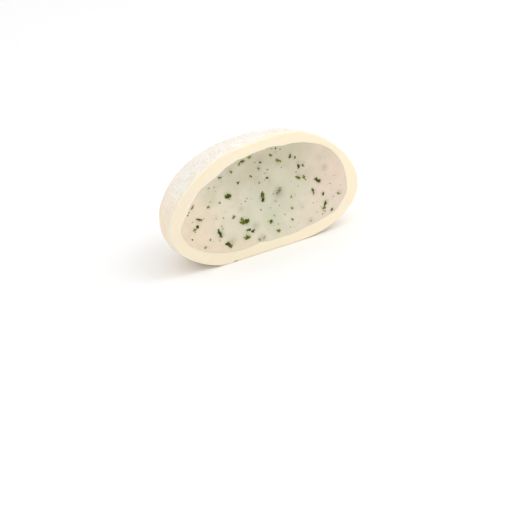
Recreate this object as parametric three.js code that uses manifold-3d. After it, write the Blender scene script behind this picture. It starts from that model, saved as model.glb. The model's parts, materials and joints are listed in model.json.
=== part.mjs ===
// Half of a filled rice cake: a soft skin of rice dough round a creamy filling with flecks of green
// herb. A knife has halved the cake from top to bottom, and the half stands on its flat underside.
//
// Frame: millimetres, +Z up. The cut faces -Y and the uncut back lies towards +Y. The origin is the
// bottom centre of the bounding box, so the underside is the plane z = 0.
//
// Both pieces are shaped first in a frame of their own, with the cut in the plane y = 0, and the
// whole is moved to its origin at the end.

import * as THREE from 'three';
import { mergeVertices } from 'three/addons/utils/BufferGeometryUtils.js';
import loadManifold from 'manifold-3d';

// ---------------------------------------------------------------- driving dimensions, in mm

const CAKE_WIDTH = 48.5; // before its unevenness takes a little off
const CAKE_DEPTH = 23; // from the cut to the back
const BELLY_HEIGHT = 11; // where the cake is widest
const CROWN_RISE = 15.1; // from the belly up to the crown
const SKIN_BACK = 2.7; // thickness of the dough at the back

const FILLING_WIDTH = 42;
const FILLING_OFFSET = 0.3; // how far the filling sits to the right of the middle
const FILLING_BELLY_HEIGHT = 9.6;
const FILLING_CROWN_RISE = 14.1;
const FLOOR_THICKNESS = 2.3; // dough under the filling

const SAG = 1.6; // how far the round base would reach below the table if it weren't flattened
const FILLING_SAG = 0.8; // the same for the filling, over its floor of dough
const FLATTENING_EDGE = 0.5; // half the height over which a flattened base turns upwards

const PIECE_GAP = 0.2; // between the filling and the dough
const CUT_RECESS = 0.25; // the cream has sunk this far behind the cut edge of the dough

const FLECK_RISE = 0.15; // how far a herb fleck stands out of the cream
const FLECK_ROOT = 0.35; // how far it reaches into the cream
const FLECK_CORNERS = 7;
const FLECK_RAGGEDNESS = 0.24; // how far a corner of a fleck may fall short, as a share of its reach

const SEGMENTS = 84; // round the axis that runs from the cut to the back
const OUTER_RINGS = 17;
const INNER_RINGS = 13;
const HOLLOW_RADIUS = 0.5; // of the lathed round's hollow, before its shaping; the outside has 1

// The outline of a form in the cut is half an ellipse above its belly and half a flatter one below.
// Towards the back it shrinks to nothing, later along the flanks below the belly, which bear the
// weight. Hand shaping has left it uneven: each wave swells the form by a share of its radius, at
// so many lobes round the outline, the first lobe centred at so many degrees from +X towards +Z.
const DOUGH = {
  centreX: 0,
  bellyHeight: BELLY_HEIGHT,
  halfWidth: CAKE_WIDTH / 2,
  rise: CROWN_RISE,
  floor: 0,
  sag: SAG,
  depth: CAKE_DEPTH,
  sectionPower: 2,
  backPower: 2.3,
  flankFullness: 4,
  waves: [
    { lobes: 2, swell: 0.031, towards: 52 },
    { lobes: 3, swell: 0.008, towards: -16 },
    { lobes: 4, swell: 0.009, towards: -27 },
    { lobes: 5, swell: 0.019, towards: -21 },
  ],
};

const HOLLOW = {
  centreX: FILLING_OFFSET,
  bellyHeight: FILLING_BELLY_HEIGHT,
  halfWidth: FILLING_WIDTH / 2,
  rise: FILLING_CROWN_RISE,
  floor: FLOOR_THICKNESS,
  sag: FILLING_SAG,
  depth: CAKE_DEPTH - SKIN_BACK,
  sectionPower: 2.1,
  backPower: 2.3,
  flankFullness: 4,
  waves: [
    { lobes: 2, swell: 0.034, towards: 46 },
    { lobes: 3, swell: 0.018, towards: 38 },
    { lobes: 4, swell: 0.011, towards: 1 },
    { lobes: 5, swell: 0.015, towards: -34 },
  ],
};

const CREAM = {
  ...HOLLOW,
  halfWidth: HOLLOW.halfWidth - PIECE_GAP,
  rise: HOLLOW.rise - PIECE_GAP,
  floor: HOLLOW.floor + PIECE_GAP,
  depth: HOLLOW.depth - PIECE_GAP,
};

// The herb flecks on the cut: x and z of the middle, length and width, and tilt in degrees from +X.
// Flecks that touch are fingers of one torn leaf.
const FLECKS = [
  [-6.6, 8.4, 1.3, 0.45, -38], [-6.4, 8.9, 1.6, 0.45, -72], [-5.5, 8.55, 1.5, 0.95, 18],
  [-10.9, 4.6, 1.4, 0.8, -40], [-10.2, 3.95, 0.9, 0.55, 20], [-12.5, 7.65, 2.1, 0.55, -72],
  [-9.1, 15.5, 1.6, 0.9, -12], [-0.65, 13.4, 1.5, 0.7, 85], [-0.7, 12.3, 1.0, 0.6, 75],
  [13.3, 13.2, 0.9, 0.6, -60], [13.8, 12.7, 1.1, 0.6, -10], [-6.0, 4.7, 1.5, 0.75, -3],
  [-5.3, 6.4, 1.1, 0.5, -8], [-4.4, 5.8, 1.0, 0.45, 25], [3.8, 13.4, 1.1, 0.7, 40],
  [3.2, 12.7, 0.7, 0.45, 10], [14.7, 6.9, 1.25, 0.45, 62], [14.2, 5.95, 1.0, 0.5, 0],
  [9.3, 17.5, 1.05, 0.5, 85], [10.4, 17.4, 0.7, 0.4, -60], [4.5, 20.2, 1.25, 0.5, -25],
  [8.8, 14.95, 1.3, 0.4, -42], [10.3, 14.65, 0.9, 0.4, -75], [12.05, 10.8, 1.2, 0.4, -75],
  [7.6, 20.3, 0.85, 0.55, 60], [8.8, 19.8, 0.55, 0.4, 0], [-4.3, 22.4, 1.1, 0.5, 5],
  [-5.2, 21.9, 0.7, 0.4, 30], [-16.9, 12.25, 1.25, 0.45, -28], [-17.6, 10.8, 0.8, 0.6, -70],
  [-18.4, 10.2, 0.8, 0.4, 10], [0.5, 6.7, 0.95, 0.6, 50], [-3.0, 3.4, 0.7, 0.5, -30],
  [-1.8, 3.45, 0.8, 0.4, 50], [-8.5, 10.4, 0.85, 0.45, 68], [14.6, 9.35, 0.75, 0.4, 80],
  [16.2, 5.1, 0.7, 0.45, 30], [18.5, 8.3, 0.85, 0.3, -50], [2.0, 4.0, 1.05, 0.45, -20],
  [2.85, 21.9, 0.75, 0.4, -38], [0.1, 20.95, 0.7, 0.4, -40], [-2.9, 18.55, 0.7, 0.4, -30],
  [1.1, 17.0, 0.65, 0.4, 10], [-7.5, 20.9, 0.75, 0.3, -38], [-6.2, 17.95, 0.7, 0.3, -25],
  [-10.4, 20.2, 0.8, 0.4, 10], [-18.0, 15.5, 0.8, 0.3, 42], [-2.4, 22.8, 0.9, 0.4, 8],
  [6.2, 8.2, 0.6, 0.45, 0], [5.8, 5.7, 0.65, 0.3, -40], [6.4, 11.05, 0.6, 0.28, 88],
  [-15.0, 6.9, 0.6, 0.28, 90], [-14.2, 14.55, 0.6, 0.35, 0], [-16.5, 5.4, 0.6, 0.35, 40],
];

// ---------------------------------------------------------------- the rounded form

// Distance from a form's centre to its surface along a unit direction.
function reach(form, direction) {
  const { x, y, z } = direction;
  const height = z > 0 ? form.rise : form.bellyHeight - form.floor + form.sag;
  const across = (Math.abs(x) / form.halfWidth) ** form.sectionPower;
  const upright = (Math.abs(z) / height) ** form.sectionPower;
  const low = Math.max(-z, 0);
  const power = form.backPower + form.flankFullness * low ** 2 * (1 - low);
  const section = (across + upright) ** (power / form.sectionPower);
  const whole = section + (Math.abs(y) / form.depth) ** power;
  const fromAxis = Math.hypot(x, z);
  const turn = Math.atan2(z, x);
  const uneven = form.waves.reduce((sum, { lobes, swell, towards }) => {
    const phase = lobes * (turn - THREE.MathUtils.degToRad(towards));
    return sum + swell * fromAxis ** lobes * Math.cos(phase);
  }, 1);
  return uneven / whole ** (1 / power);
}

// Flattens what would reach below a floor, with a short rounded turn upwards at its edge.
function settle(height, floor) {
  const over = height - floor;
  if (over >= FLATTENING_EDGE) return height;
  if (over <= -FLATTENING_EDGE) return floor;
  return floor + (over + FLATTENING_EDGE) ** 2 / (4 * FLATTENING_EDGE);
}

// The point of a form's surface that lies along a direction from its centre.
function surfacePoint(form, direction) {
  const unit = direction.clone().normalize();
  const point = unit.clone().multiplyScalar(reach(form, unit));
  point.x += form.centreX;
  point.z = settle(point.z + form.bellyHeight, form.floor);
  return point;
}

// A quarter circle from the axis at the back to the rim in the cut, as a lathe profile.
function quarterProfile(rings, radius) {
  return Array.from({ length: rings + 1 }, (_, i) => {
    const angle = ((i / rings) * Math.PI) / 2;
    const fromAxis = i === 0 ? 0 : radius * Math.sin(angle);
    const towardsBack = i === rings ? 0 : radius * Math.cos(angle);
    return new THREE.Vector2(fromAxis, towardsBack);
  });
}

// One closed skin of triangles with shared corners, without the empty triangles of a lathe's poles.
function closedGeometry(geometry) {
  geometry.deleteAttribute('normal');
  geometry.deleteAttribute('uv');
  const merged = mergeVertices(geometry);
  const corners = merged.index.array;
  const kept = [];
  for (let i = 0; i < corners.length; i += 3) {
    const [a, b, c] = corners.slice(i, i + 3);
    if (a !== b && b !== c && c !== a) kept.push(a, b, c);
  }
  merged.setIndex(kept);
  return merged;
}

// Moves each corner of a lathed round to where `place` puts it.
function reshape(geometry, place) {
  const position = geometry.getAttribute('position');
  for (let i = 0; i < position.count; i += 1) {
    const point = place(new THREE.Vector3().fromBufferAttribute(position, i));
    position.setXYZ(i, point.x, point.y, point.z);
  }
  return closedGeometry(geometry);
}

// ---------------------------------------------------------------- the dough

// A lathe about the axis from the cut to the back: the hollow first, then the outside.
function doughSkin() {
  const outside = quarterProfile(OUTER_RINGS, 1).reverse();
  const inside = quarterProfile(INNER_RINGS, HOLLOW_RADIUS);
  const lathe = new THREE.LatheGeometry([...inside, ...outside], SEGMENTS);
  const isOutside = (point) => point.length() > (1 + HOLLOW_RADIUS) / 2;
  return reshape(lathe, (point) => surfacePoint(isOutside(point) ? DOUGH : HOLLOW, point));
}

// ---------------------------------------------------------------- the filling

// The cream ends in a flat face just behind the cut.
function cream() {
  const face = new THREE.Vector2(0, 0);
  const profile = [...quarterProfile(INNER_RINGS, 1), face].reverse();
  const lathe = new THREE.LatheGeometry(profile, SEGMENTS);
  const faceCentre = new THREE.Vector3(CREAM.centreX, 0, CREAM.bellyHeight);
  return reshape(lathe, (point) => {
    const placed = point.length() === 0 ? faceCentre.clone() : surfacePoint(CREAM, point);
    placed.y = Math.max(placed.y, CUT_RECESS);
    return placed;
  });
}

// A torn scrap of leaf with a ragged outline, standing a little out of the cream. No two are alike,
// because the raggedness depends on the place.
function fleckGeometry([x, z, length, width, tilt]) {
  const outline = Array.from({ length: FLECK_CORNERS }, (_, corner) => {
    const angle = (corner / FLECK_CORNERS) * 2 * Math.PI;
    const shortfall = FLECK_RAGGEDNESS * Math.sin(corner ** 2 + x + z) ** 2;
    const half = (1 - shortfall) / 2;
    return new THREE.Vector2(Math.cos(angle) * half * length, Math.sin(angle) * half * width);
  });
  const geometry = new THREE.ExtrudeGeometry(new THREE.Shape(outline), {
    depth: FLECK_RISE + FLECK_ROOT,
    bevelEnabled: false,
  });
  geometry.rotateZ(THREE.MathUtils.degToRad(tilt));
  geometry.rotateX(Math.PI / 2);
  geometry.translate(x, CUT_RECESS + FLECK_ROOT, z);
  return closedGeometry(geometry);
}

const manifold = await loadManifold();
manifold.setup();

function toSolid(geometry) {
  const { Manifold, Mesh } = manifold;
  const mesh = new Mesh({
    numProp: 3,
    vertProperties: new Float32Array(geometry.getAttribute('position').array),
    triVerts: new Uint32Array(geometry.index.array),
  });
  return new Manifold(mesh);
}

function fromSolid(solid) {
  const mesh = solid.getMesh();
  const geometry = new THREE.BufferGeometry();
  geometry.setAttribute('position', new THREE.BufferAttribute(new Float32Array(mesh.vertProperties), 3));
  geometry.setIndex(Array.from(mesh.triVerts));
  return geometry;
}

function fillingWithFlecks() {
  const flecks = FLECKS.map(fleckGeometry);
  return fromSolid(flecks.reduce((sum, fleck) => sum.add(toSolid(fleck)), toSolid(cream())));
}

// ---------------------------------------------------------------- the half cake

function piece(name, geometry, look) {
  const mesh = new THREE.Mesh(geometry, new THREE.MeshStandardMaterial({ ...look, metalness: 0 }));
  mesh.name = name;
  return mesh;
}

const cake = new THREE.Group();
cake.add(piece('rice_skin', doughSkin(), { color: '#faf0da', roughness: 0.6 }));
cake.add(piece('filling', fillingWithFlecks(), { color: '#d9d4bf', roughness: 0.45 }));

const bounds = new THREE.Box3().setFromObject(cake);
const middle = bounds.getCenter(new THREE.Vector3());
cake.position.set(-middle.x, -middle.y, -bounds.min.z);

export default cake;
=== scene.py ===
"""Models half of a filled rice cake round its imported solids: dusted rice dough, pale cream with
flecks of green herb, and a plain pale studio. Lengths are in metres."""

import json
import math
from collections import namedtuple

import bpy
import numpy as np
from mathutils import Matrix, Vector, noise

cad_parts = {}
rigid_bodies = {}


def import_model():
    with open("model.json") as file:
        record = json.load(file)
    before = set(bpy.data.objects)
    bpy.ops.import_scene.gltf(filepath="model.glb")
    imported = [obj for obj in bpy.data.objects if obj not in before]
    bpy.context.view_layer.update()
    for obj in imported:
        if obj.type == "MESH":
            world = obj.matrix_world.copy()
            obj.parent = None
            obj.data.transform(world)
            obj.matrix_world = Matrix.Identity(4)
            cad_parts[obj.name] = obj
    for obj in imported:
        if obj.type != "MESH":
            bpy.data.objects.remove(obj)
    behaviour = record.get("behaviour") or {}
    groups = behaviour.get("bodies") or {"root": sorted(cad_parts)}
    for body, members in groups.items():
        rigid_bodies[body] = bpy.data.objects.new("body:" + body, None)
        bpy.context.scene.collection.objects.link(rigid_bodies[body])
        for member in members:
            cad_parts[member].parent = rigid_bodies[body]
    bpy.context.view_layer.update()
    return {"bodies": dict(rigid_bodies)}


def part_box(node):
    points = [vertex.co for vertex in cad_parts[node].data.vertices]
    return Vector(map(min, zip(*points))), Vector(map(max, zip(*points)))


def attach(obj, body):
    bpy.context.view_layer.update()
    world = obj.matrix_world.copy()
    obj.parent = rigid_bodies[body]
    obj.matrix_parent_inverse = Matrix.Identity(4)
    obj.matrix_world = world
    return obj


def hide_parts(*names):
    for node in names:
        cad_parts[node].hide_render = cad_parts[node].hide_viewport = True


bl_info = {
    "name": "Halved filled rice cake",
    "version": (1, 0, 0),
    "blender": (4, 5, 0),
    "location": "3D View > Sidebar > Rice Cake",
    "description": "Half of a filled rice cake: dusted dough, herb cream and a plain studio",
    "category": "Add Mesh",
}

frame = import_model()
CAKE_LOW, CAKE_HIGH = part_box("rice_skin")
BODY = next(iter(frame["bodies"]))  # food has no joints, so there is one body

MM = 0.001
CUT_Y = CAKE_LOW.y  # the plane of the knife's cut, which faces -Y
CAKE_DEPTH = CAKE_HIGH.y - CAKE_LOW.y
CAKE_HEIGHT = CAKE_HIGH.z - CAKE_LOW.z
FILLING_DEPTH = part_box("filling")[1].y - CUT_Y
PIECE_GAP = 0.2 * MM  # between the solids of the filling and the dough
FLATTENING_EDGE = 0.5 * MM  # half the height over which a flattened base turns upwards


# ---- sizes and colours to change


def setting(kind, name, description, default, **options):
    return kind(name=name, description=description, default=default, **options)


def length(*given):
    return setting(bpy.props.FloatProperty, *given, min=0.0, max=1.0, unit="LENGTH", precision=5)


def count(*given):
    return setting(bpy.props.IntProperty, *given, min=0)


def angle(name, description, degrees):
    turn = math.radians(degrees)
    return setting(bpy.props.FloatProperty, name, description, turn, subtype="ANGLE")


def colour(*given):
    return setting(bpy.props.FloatVectorProperty, *given, size=3, min=0.0, max=1.0, subtype="COLOR")


class RiceCakeDough(bpy.types.PropertyGroup):
    """Sizes and colours of the rice dough"""

    half_width: length("Half width", "Half the cake's width", 24.25 * MM)
    belly_height: length("Belly height", "Height at which the cake is widest", 11 * MM)
    crown_rise: length("Crown rise", "Height of the crown above the belly", 15.1 * MM)
    sag: length("Sag", "How far the round base would reach below the table", 1.6 * MM)
    outer_round: length("Outer edge", "Rounding of the cut's outer edge", 0.35 * MM)
    inner_round: length("Inner edge", "Rounding of the cut's inner edge", 0.05 * MM)
    lumps: length("Lumps", "Depth of the outside's soft unevenness", 0.7 * MM)
    wrinkles: length("Wrinkles", "Depth of the outside's fine wrinkles", 0.16 * MM)
    around: count("Segments", "Faces round the cake", 480)
    colour: colour("Dough", "Colour of the dough where it is cut", (0.90, 0.795, 0.61))
    # deep_colour also paints shade: the cut is darker low on the left, where less light falls, besides
    # random denser patches.
    deep_colour: colour("Dense dough", "Colour of its denser patches", (0.85, 0.76, 0.59))
    # lip_and_painted_light_colour also paints light: it pales the rounded outer edge of the cut, more so
    # towards the crown, where that edge would fall in shade.
    lip_and_painted_light_colour: colour("Pale lip", "Colour of the thin lip along the seam", (0.95, 0.88, 0.75))
    # bare_colour also shows as painted shade in the hollows of the skin's bumps, between whiter ridges.
    bare_colour: colour("Bare skin", "Colour of the outside between the starch", (0.838, 0.70, 0.52))
    dusted_colour: colour("Dusted skin", "Colour of the outside under a film of starch", (0.965, 0.84, 0.70))
    starch_colour: colour("Starch", "Colour of the loose starch", (1.0, 0.945, 0.91))


class RiceCakeFilling(bpy.types.PropertyGroup):
    """Sizes and colours of the cream filling"""

    half_width: length("Half width", "Half the filling's width", 21 * MM)
    offset: length("Offset", "How far the filling sits to the right", 0.3 * MM)
    belly_height: length("Belly height", "Height at which the filling is widest", 9.6 * MM)
    crown_rise: length("Crown rise", "Height of the crown above the belly", 14.1 * MM)
    floor: length("Floor", "Thickness of the dough under the filling", 2.3 * MM)
    sag: length("Sag", "How far its round base would reach below its floor", 0.8 * MM)
    recess: length("Recess", "How far the cream has sunk behind the cut", 0.04 * MM)
    swell: length("Swell", "Unevenness of the cut cream", 0.05 * MM)
    around: count("Segments", "Faces round the filling", 360)
    colour: colour("Cream", "Colour near its floor", (0.735, 0.685, 0.55))
    shaded_colour: colour("Shaded cream", "Colour near the crown", (0.54, 0.495, 0.36))
    green_colour: colour("Green cream", "Colour in the middle", (0.60, 0.60, 0.46))
    warm_colour: colour("Warm cream", "Colour on the left", (0.795, 0.67, 0.52))
    rosy_colour: colour("Rosy cream", "Colour on the right", (0.775, 0.635, 0.53))
    deep_colour: colour("Deep herb", "Colour of herb that shows through the cream", (0.12, 0.13, 0.08))


class RiceCakeFlecks(bpy.types.PropertyGroup):
    """Numbers and colours of the herb flecks"""

    specks: count("Specks", "Specks finer than the flecks and scraps", 50)
    rise: length("Rise", "How far a fleck stands out of the cream", 0.05 * MM)
    seed: count("Seed", "Start of the random draws", 20)
    leaf_colour: colour("Leaf", "Colour of the darker flecks", (0.034, 0.052, 0.001))
    olive_colour: colour("Olive", "Colour of the lighter flecks", (0.205, 0.235, 0.01))
    pale_colour: colour("Pale olive", "Colour of the lighter ones seen through cream", (0.50, 0.49, 0.14))
    brown_colour: colour("Brown leaf", "Colour of a few brown scraps", (0.10, 0.07, 0.048))


class RiceCakeStarch(bpy.types.PropertyGroup):
    """Numbers and sizes of the loose starch"""

    grains: count("Grains", "Loose grains and clumps of starch", 3600)
    size: length("Grain size", "Usual width of a grain", 0.13 * MM)
    seed: count("Seed", "Start of the random draws", 7)


class RiceCakeStudio(bpy.types.PropertyGroup):
    """The camera and the light"""

    azimuth: angle("Azimuth", "Camera's turn round the cake", -25.2)
    elevation: angle("Elevation", "Camera's height as an angle", 18.4)
    roll: angle("Roll", "Camera's lean to one side", 8.8)
    distance: length("Distance", "From the camera to the cut", 0.4304)
    sky: setting(bpy.props.FloatProperty, "Sky", "Strength of the light all round", 0.98, min=0.0)
    key: setting(bpy.props.FloatProperty, "Key", "Power of the softbox", 0.45, min=0.0, unit="POWER")
    floor_colour: colour("Floor", "Colour of the floor", (0.96, 0.96, 0.96))


# ---- the rounded form


class Form:
    """Half of a rounded body: half an ellipse above its belly, a flatter one below, shrinking to the
    back. Each wave swells it at so many lobes round the outline, by a share of its radius, with the
    first lobe at so many degrees from +X towards +Z."""

    back_power = 2.3
    flank_fullness = 4.0

    def __init__(self, sizes, centre_x, floor, depth, section_power, waves, shrink=0.0):
        self.centre = np.array([centre_x, CUT_Y, sizes.belly_height])
        self.half_width = sizes.half_width - shrink
        self.rise = sizes.crown_rise - shrink
        self.floor = floor + shrink
        self.drop = sizes.belly_height - self.floor + sizes.sag
        self.depth = depth - shrink
        self.section_power = section_power
        self.waves = waves

    def reach(self, direction):
        """Distance from the centre to the surface along unit directions."""
        x, y, z = np.moveaxis(direction, -1, 0)
        height = np.where(z > 0, self.rise, self.drop)
        across = (np.abs(x) / self.half_width) ** self.section_power
        upright = (np.abs(z) / height) ** self.section_power
        low = np.maximum(-z, 0)
        power = self.back_power + self.flank_fullness * low**2 * (1 - low)
        section = (across + upright) ** (power / self.section_power)
        whole = section + (np.abs(y) / self.depth) ** power
        from_axis = np.hypot(x, z)
        turn = np.arctan2(z, x)
        uneven = np.ones_like(x)
        for lobes, swell, towards in self.waves:
            uneven = uneven + swell * from_axis**lobes * np.cos(lobes * (turn - math.radians(towards)))
        return uneven / whole ** (1 / power)

    def settle(self, height):
        """Flattens what would reach below the floor, with a short turn upwards at its edge."""
        over = np.clip(height - self.floor, -FLATTENING_EDGE, FLATTENING_EDGE)
        turned = self.floor + (over + FLATTENING_EDGE) ** 2 / (4 * FLATTENING_EDGE)
        return np.where(height - self.floor >= FLATTENING_EDGE, height, turned)

    def place(self, turn, tilt):
        """Points of the surface at a turn round the outline and a tilt away from the back."""
        direction = np.stack(
            [np.sin(tilt) * np.cos(turn), np.cos(tilt) * np.ones_like(turn), np.sin(tilt) * np.sin(turn)],
            axis=-1,
        )
        point = self.centre + direction * self.reach(direction)[..., None]
        point[..., 2] = self.settle(point[..., 2])
        return point


def dough_form(sizes):
    waves = [(2, 0.031, 52), (3, 0.008, -16), (4, 0.009, -27), (5, 0.019, -21)]
    return Form(sizes, 0.0, 0.0, CAKE_DEPTH, 2, waves)


def hollow_form(sizes, shrink=0.0):
    """The hollow in the dough, or a filling that is smaller all round."""
    waves = [(2, 0.034, 46), (3, 0.018, 38), (4, 0.011, 1), (5, 0.015, -34)]
    return Form(sizes, sizes.offset, sizes.floor, FILLING_DEPTH + PIECE_GAP, 2.1, waves, shrink)


def noise_at(points, wavelength, octaves=3, start=0.0):
    """Smooth noise from about -1 to 1 at each point."""
    offset = Vector((start, 2.3 * start, -1.7 * start))
    scaled = points.reshape(-1, 3) / wavelength
    values = [noise.fractal(Vector(p) + offset, 1.0, 2.0, octaves) for p in scaled]
    return np.array(values).reshape(points.shape[:-1])


def smoothstep(value, low, high):
    """A smooth step from 0 below low to 1 above high."""
    t = np.clip((value - low) / (high - low), 0, 1)
    return t * t * (3 - 2 * t)


def bell(distance, width):
    """1 at no distance, falling off to nothing over about twice the width."""
    return np.exp(-((distance / width) ** 2))


def norm(vectors):
    return np.linalg.norm(vectors, axis=-1)


# Where the cream bulges into the dough, or the dough into the cream: the turn in degrees, how far
# outwards in mm, and half the width in degrees.
SEAM_BULGES = [
    (3, -0.22, 10), (31, 0.18, 9), (66, -0.22, 6), (79, 0.17, 6), (105, -0.2, 5), (113, 0.1, 3),
    (125, 0.15, 4), (136, -0.22, 4), (151, 0.2, 5), (165, -0.25, 6), (177, 0.55, 4), (189, -0.42, 8),
    (213, 0.15, 8), (248, -0.42, 11), (322, -0.45, 10), (343, 0.5, 4),
]
SEAM_RIPPLES = ((0.07 * MM, 1.6 * MM, 5.0), (0.05 * MM, 0.7 * MM, 11.0))  # depth, wavelength, start
SEAM_DEPTH = 2.5 * MM  # from this far behind the cut on, the wall is smooth


def hollow_wall(form, turn, tilt=math.pi / 2):
    """The wall of the hollow, with an uneven edge in the cut where the dough meets the cream."""
    point = form.place(turn, tilt)
    edge = form.place(turn, math.pi / 2)
    outward = edge - form.centre
    outward = outward / norm(outward)[..., None]
    shift = np.zeros(edge.shape[:-1])
    for depth, wavelength, start in SEAM_RIPPLES:
        shift = shift + depth * noise_at(edge, wavelength, 2, start)
    for towards, bulge, spread in SEAM_BULGES:
        away = (np.degrees(turn) - towards + 180) % 360 - 180
        shift = shift + bulge * MM * bell(away, spread)
    shift = shift * (1 - smoothstep(point[..., 1] - CUT_Y, 0, SEAM_DEPTH))
    return point + outward * shift[..., None]


# ---- modelling helpers

WELD = 1e-7  # points closer than this become one
WEIGHT_STEPS = 50


def deselect():
    bpy.ops.object.select_all(action="DESELECT")


def gather(items, name, width=1, kind=np.float64):
    """One value of each item, as a row where it has a width of its own."""
    values = np.empty(len(items) * width, dtype=kind)
    items.foreach_get(name, values)
    return values if width == 1 else values.reshape(-1, width)


def coordinates(mesh):
    return gather(mesh.vertices, "co", 3)


def move_to(mesh, points):
    mesh.vertices.foreach_set("co", points.ravel())


def write_attribute(mesh, name, values):
    layer = mesh.attributes.new(name, "FLOAT", "POINT")
    layer.data.foreach_set("value", values.astype(np.float32))


def wrap_grid(name, around, place):
    """Adds a grid and wraps it round a form: its X runs round the outline and its Y along rows."""
    turn = np.arange(around + 1) / around * 2 * math.pi
    turn[-1] = 0.0
    points = place(turn)
    rows = len(points)
    deselect()
    bpy.ops.mesh.primitive_grid_add(x_subdivisions=around, y_subdivisions=rows - 1, size=2)
    piece = bpy.context.object
    piece.name = piece.data.name = name
    flat = coordinates(piece.data)
    column = np.rint((flat[:, 0] + 1) / 2 * around).astype(int)
    row = np.rint((flat[:, 1] + 1) / 2 * (rows - 1)).astype(int)
    move_to(piece.data, points[row, column])
    bpy.ops.object.mode_set(mode="EDIT")
    bpy.ops.mesh.select_all(action="SELECT")
    bpy.ops.mesh.remove_doubles(threshold=WELD)
    bpy.ops.mesh.normals_make_consistent(inside=False)
    bpy.ops.object.mode_set(mode="OBJECT")
    return piece


def weigh(piece, name, weights):
    """Adds a vertex group. Its weights are rounded, as one call gives one weight."""
    group = piece.vertex_groups.new(name=name)
    steps = np.rint(weights * WEIGHT_STEPS).astype(int)
    for step in range(1, WEIGHT_STEPS + 1):
        members = np.nonzero(steps == step)[0]
        if len(members):
            group.add(members.tolist(), step / WEIGHT_STEPS, "REPLACE")
    return name


def displace(piece, name, wavelength, strength, group, depth=2, squeeze=1.0):
    """Pushes the surface in and out by soft clouds, which may be squeezed from the cut to the back."""
    deselect()
    bpy.ops.object.empty_add()
    guide = bpy.context.object
    guide.scale = (1, 1 / squeeze, 1)
    bpy.context.view_layer.update()
    texture = bpy.data.textures.new(name, "CLOUDS")
    texture.noise_scale = wavelength
    texture.noise_depth = depth
    modifier = piece.modifiers.new(name, "DISPLACE")
    modifier.texture = texture
    modifier.texture_coords = "OBJECT"
    modifier.texture_coords_object = guide
    modifier.strength = strength
    modifier.vertex_group = group
    bpy.context.view_layer.objects.active = piece
    bpy.ops.object.modifier_apply(modifier=modifier.name)
    bpy.data.objects.remove(guide)


def complete(piece, material, smooth_angle=50):
    """Gives a finished piece its material, its smoothness and its body."""
    piece.data.materials.append(material)
    deselect()
    piece.select_set(True)
    bpy.context.view_layer.objects.active = piece
    bpy.ops.object.shade_smooth_by_angle(angle=math.radians(smooth_angle))
    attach(piece, BODY)


# ---- materials

MIX_COLOURS = (6, 7)  # a Mix node's inputs for the two colours
MIX_RESULT = 2  # its output for the mixed one


class Finish:
    """A material under construction, with short ways to add and link its nodes."""

    def __init__(self, name):
        self.material = bpy.data.materials.new(name)
        self.material.use_nodes = True
        self.nodes = self.material.node_tree.nodes
        self.links = self.material.node_tree.links
        self.surface = self.nodes["Principled BSDF"]
        self.place = self.nodes.new("ShaderNodeTexCoord").outputs["Object"]

    def link(self, value, socket):
        """Feeds a socket from another one, or gives it a plain value or an opaque colour."""
        if isinstance(value, bpy.types.NodeSocket):
            self.links.new(value, socket)
        elif socket.type == "RGBA":
            socket.default_value = (*value, 1.0)
        else:
            socket.default_value = value

    def feed(self, node, values):
        """Feeds a node's inputs, each by its name."""
        for name, value in values.items():
            title = name.replace("_", " ").title().replace("Ior", "IOR")
            self.link(value, node.inputs[title])

    def set(self, **values):
        self.feed(self.surface, values)

    def add(self, kind, **values):
        node = self.nodes.new("ShaderNode" + kind)
        self.feed(node, values)
        return node

    def squeezed(self, scale):
        """Object coordinates with each axis made finer by its share of the scale."""
        return self.add("Mapping", vector=self.place, scale=scale).outputs["Vector"]

    def noise(self, wavelength, detail=4.0, roughness=0.55, place=None):
        place = place or self.place
        node = self.add("TexNoise", vector=place, scale=1 / wavelength, detail=detail, roughness=roughness)
        return node.outputs["Fac"]

    def attribute(self, name):
        node = self.add("Attribute")
        node.attribute_name = name
        return node.outputs["Fac"]

    def axis(self, letter):
        return self.add("SeparateXYZ", vector=self.place).outputs[letter]

    def math(self, operation, first, second=0.0, third=0.0):
        node = self.add("Math")
        node.operation = operation
        for value, socket in zip((first, second, third), node.inputs):
            self.link(value, socket)
        return node.outputs[0]

    def span(self, value, low, high, to_low=0.0, to_high=1.0):
        """A smooth step from to_low, where the value is low, to to_high, where it is high."""
        node = self.add("MapRange", value=value, from_min=low, from_max=high, to_min=to_low, to_max=to_high)
        node.interpolation_type = "SMOOTHSTEP"
        return node.outputs["Result"]

    def mix(self, factor, first, second):
        """A colour that goes from the first to the second as the factor goes from 0 to 1."""
        node = self.add("Mix", factor=factor)
        node.data_type = "RGBA"
        for value, index in zip((first, second), MIX_COLOURS):
            self.link(value, node.inputs[index])
        return node.outputs[MIX_RESULT]

    def bump(self, height, distance):
        node = self.add("Bump", height=height, distance=distance)
        self.links.new(node.outputs["Normal"], self.surface.inputs["Normal"])


# The round of greener cream in the middle of the cut.
GREEN_X = 1.5 * MM
GREEN_Z = 10 * MM
GREEN_REACH_X = 11 * MM
GREEN_REACH_Z = 8 * MM


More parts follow.
